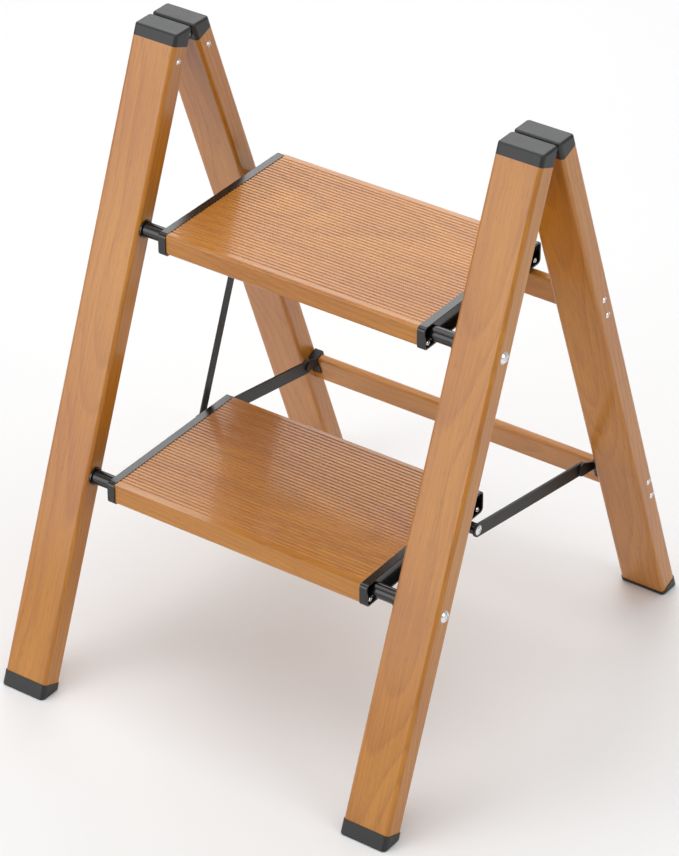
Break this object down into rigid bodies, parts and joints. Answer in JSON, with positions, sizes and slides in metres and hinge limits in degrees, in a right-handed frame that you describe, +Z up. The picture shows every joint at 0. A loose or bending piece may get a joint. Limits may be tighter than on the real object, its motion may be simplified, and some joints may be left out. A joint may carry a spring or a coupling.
{
  "type": "folding step ladder",
  "caption": "Folding step ladder with ribbed treads between tube legs; rear frame, treads and link bars fold flat together.",
  "frame": {"origin": "on the floor, under the centre of the open ladder's bounding box", "axes": "+Z up, +X across the ladder to the right of a person who climbs it, -Y the side that is climbed"},
  "size_m": [0.4784, 0.5473, 0.648],
  "materials": {
    "wood_print": "satin honey-coloured wood-grain coating on extruded aluminium",
    "moulding": "dark grey fine-grained moulding",
    "bracket_plastic": "black glossy moulding",
    "black_steel": "black powder coating, satin",
    "bright_steel": "bright plated steel",
    "plain_steel": "plain steel rod"
  },
  "bodies": {
    "front_frame": {"axle_bolts": "bright_steel", "axle_washers": "bracket_plastic", "front_cap_left": "moulding", "front_cap_right": "moulding", "front_cap_screws": "bright_steel", "front_foot_left": "moulding", "front_foot_right": "moulding", "front_leg_left": "wood_print", "front_leg_right": "wood_print", "hinge_pin_left": "plain_steel", "hinge_pin_right": "plain_steel", "leg_spacer_tubes": "plain_steel", "lower_axle": "plain_steel", "lower_axle_sleeve_left": "bracket_plastic", "lower_axle_sleeve_right": "bracket_plastic", "upper_axle": "plain_steel", "upper_axle_sleeve_left": "bracket_plastic", "upper_axle_sleeve_right": "bracket_plastic"},
    "rear_frame": {"crossbar_screws": "bright_steel", "lower_crossbar": "wood_print", "rear_cap_left": "moulding", "rear_cap_right": "moulding", "rear_cap_screws": "bright_steel", "rear_foot_left": "moulding", "rear_foot_right": "moulding", "rear_leg_left": "wood_print", "rear_leg_right": "wood_print", "stay_clip_left": "black_steel", "stay_clip_right": "black_steel", "stay_pivots": "black_steel", "upper_crossbar": "wood_print"},
    "lower_tread": {"lower_bracket_left": "bracket_plastic", "lower_bracket_right": "bracket_plastic", "lower_bracket_screws": "bright_steel", "lower_link_pins": "black_steel", "lower_tread_board": "wood_print"},
    "upper_tread": {"upper_bracket_left": "bracket_plastic", "upper_bracket_right": "bracket_plastic", "upper_bracket_screws": "bright_steel", "upper_link_pins": "black_steel", "upper_tread_board": "wood_print"},
    "tie_link": {"tie_link": "black_steel"},
    "stay_link_left": {"stay_link_left": "black_steel", "stay_rivet_left": "bright_steel"},
    "stay_link_right": {"stay_link_right": "black_steel", "stay_rivet_right": "bright_steel"}
  },
  "joints": [
    {"name": "fold", "type": "hinge", "parent": "front_frame", "child": "rear_frame", "pos_m": [0, 0.00394, 0.6373], "axis": [-1, 0, 0], "range_deg": [0, 39.5]},
    {"name": "lower_tread_tilt", "type": "hinge", "parent": "front_frame", "child": "lower_tread", "pos_m": [0, -0.1746, 0.22101], "axis": [1, 0, 0], "range_deg": [0, 68.81]},
    {"name": "upper_tread_tilt", "type": "hinge", "parent": "front_frame", "child": "upper_tread", "pos_m": [0, -0.0813, 0.46155], "axis": [1, 0, 0], "range_deg": [0, 68.81]},
    {"name": "tie_link_turn", "type": "hinge", "parent": "lower_tread", "child": "tie_link", "pos_m": [0, -0.019, 0.20801], "axis": [-1, 0, 0], "range_deg": [0, 68.81]},
    {"name": "stay_link_left_turn", "type": "hinge", "parent": "rear_frame", "child": "stay_link_left", "pos_m": [0, 0.17384, 0.17563], "axis": [-1, 0, 0], "range_deg": [0, 56.52]},
    {"name": "stay_link_right_turn", "type": "hinge", "parent": "rear_frame", "child": "stay_link_right", "pos_m": [0, 0.17384, 0.17563], "axis": [-1, 0, 0], "range_deg": [0, 56.52]}
  ],
  "couplings": [
    {"joint": "lower_tread_tilt", "follows": "fold", "ratio": 1.7418},
    {"joint": "upper_tread_tilt", "follows": "fold", "ratio": 1.7418},
    {"joint": "tie_link_turn", "follows": "fold", "ratio": 1.7418},
    {"joint": "stay_link_left_turn", "follows": "fold", "ratio": 1.4307},
    {"joint": "stay_link_right_turn", "follows": "fold", "ratio": 1.4307}
  ]
}
